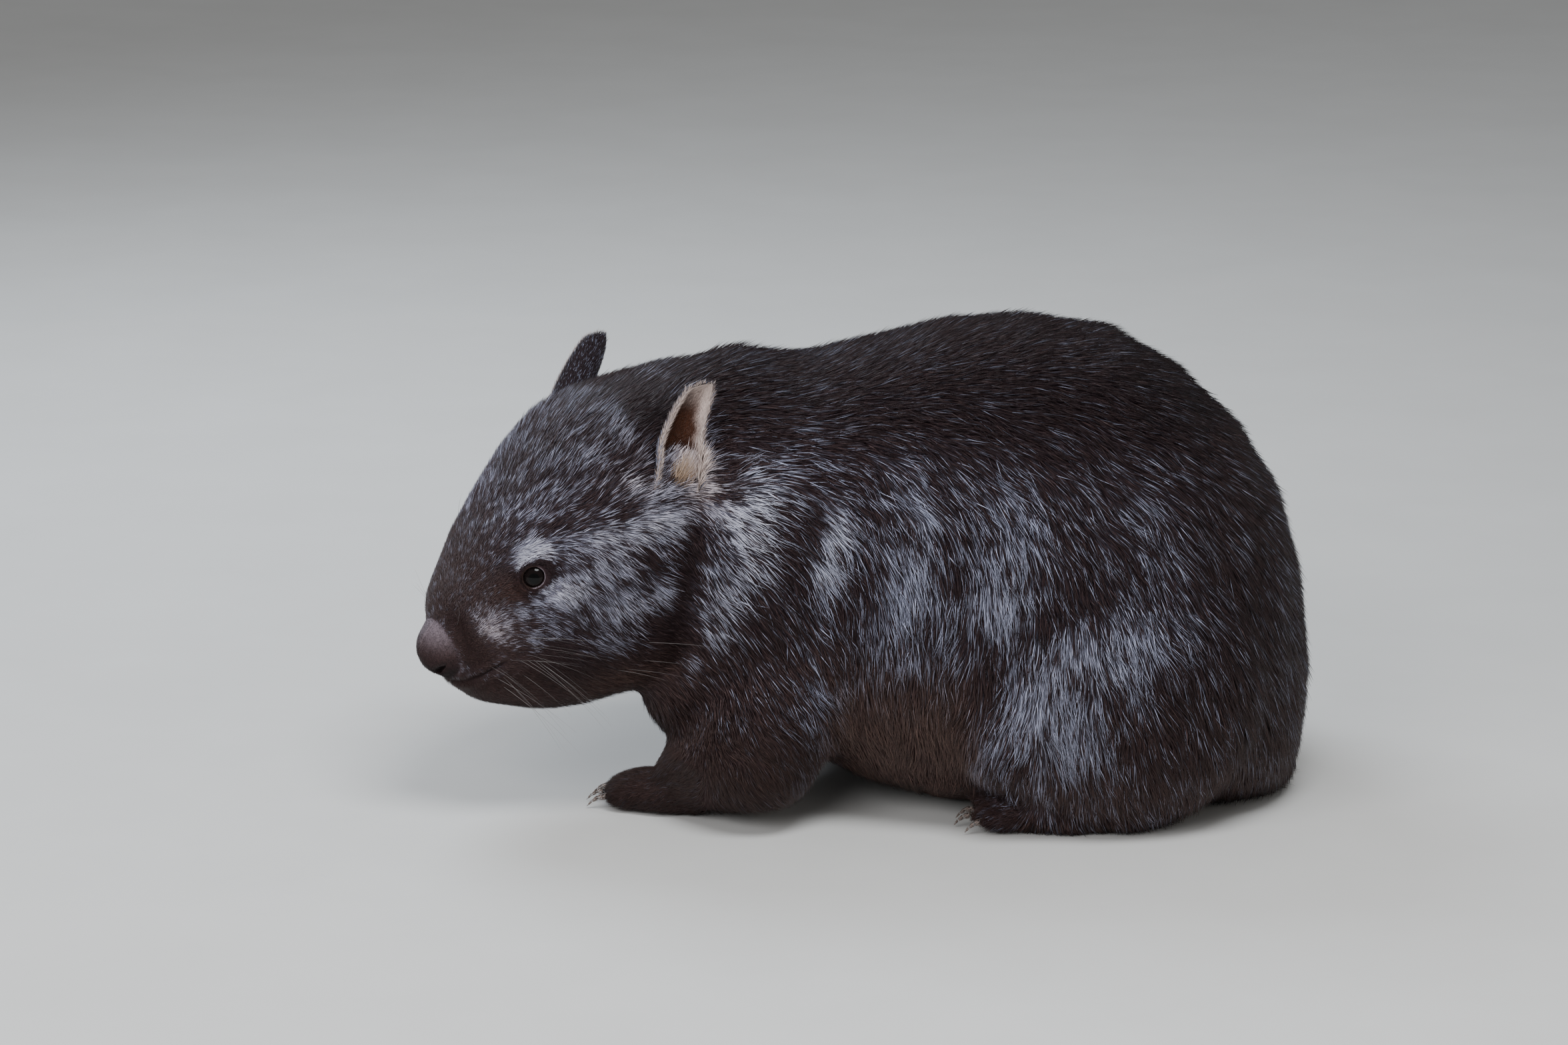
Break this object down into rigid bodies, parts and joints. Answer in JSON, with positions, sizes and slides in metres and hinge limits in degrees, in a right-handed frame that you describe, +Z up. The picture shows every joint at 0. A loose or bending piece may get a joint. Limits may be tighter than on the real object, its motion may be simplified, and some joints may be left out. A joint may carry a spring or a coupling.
{
  "type": "southern hairy-nosed wombat",
  "caption": "Life-size still wombat with a grizzled coat, hunched low on bent forearms, head turned to its left and lowered, on a floor.",
  "frame": {"origin": "middle of the whole model's footprint box, on the floor", "axes": "+Z up, -X the way the body faces, -Y its left side, which the picture shows"},
  "size_m": [0.5212, 0.311, 0.2754],
  "materials": {
    "body_coat": "dark brown coat, silver tipped",
    "face_coat": "short grizzled face coat, paler cheek and brow",
    "leg_coat": "dark brown coat, pale on the thigh",
    "foot_coat": "short dark hair over skin",
    "ear_skin": "thin skin with a pale haired rim",
    "nose_skin": "velvety skin with very short hair",
    "eye_gloss": "wet, near black",
    "claw_horn": "worn horn"
  },
  "bodies": {
    "root": {"claw_front_left_1": "claw_horn", "claw_front_left_2": "claw_horn", "claw_front_left_3": "claw_horn", "claw_front_left_4": "claw_horn", "claw_front_left_5": "claw_horn", "claw_front_right_1": "claw_horn", "claw_front_right_2": "claw_horn", "claw_front_right_3": "claw_horn", "claw_front_right_4": "claw_horn", "claw_front_right_5": "claw_horn", "claw_hind_left_1": "claw_horn", "claw_hind_left_2": "claw_horn", "claw_hind_left_3": "claw_horn", "claw_hind_left_4": "claw_horn", "claw_hind_right_1": "claw_horn", "claw_hind_right_2": "claw_horn", "claw_hind_right_3": "claw_horn", "claw_hind_right_4": "claw_horn", "ear_left": "ear_skin", "ear_right": "ear_skin", "eye_left": "eye_gloss", "eye_right": "eye_gloss", "front_foot_left": "foot_coat", "front_foot_right": "foot_coat", "front_leg_left": "leg_coat", "front_leg_right": "leg_coat", "head": "face_coat", "hind_foot_left": "foot_coat", "hind_foot_right": "foot_coat", "hind_leg_left": "leg_coat", "hind_leg_right": "leg_coat", "neck": "body_coat", "nose": "nose_skin", "tail": "leg_coat", "torso": "body_coat"}
  },
  "joints": []
}
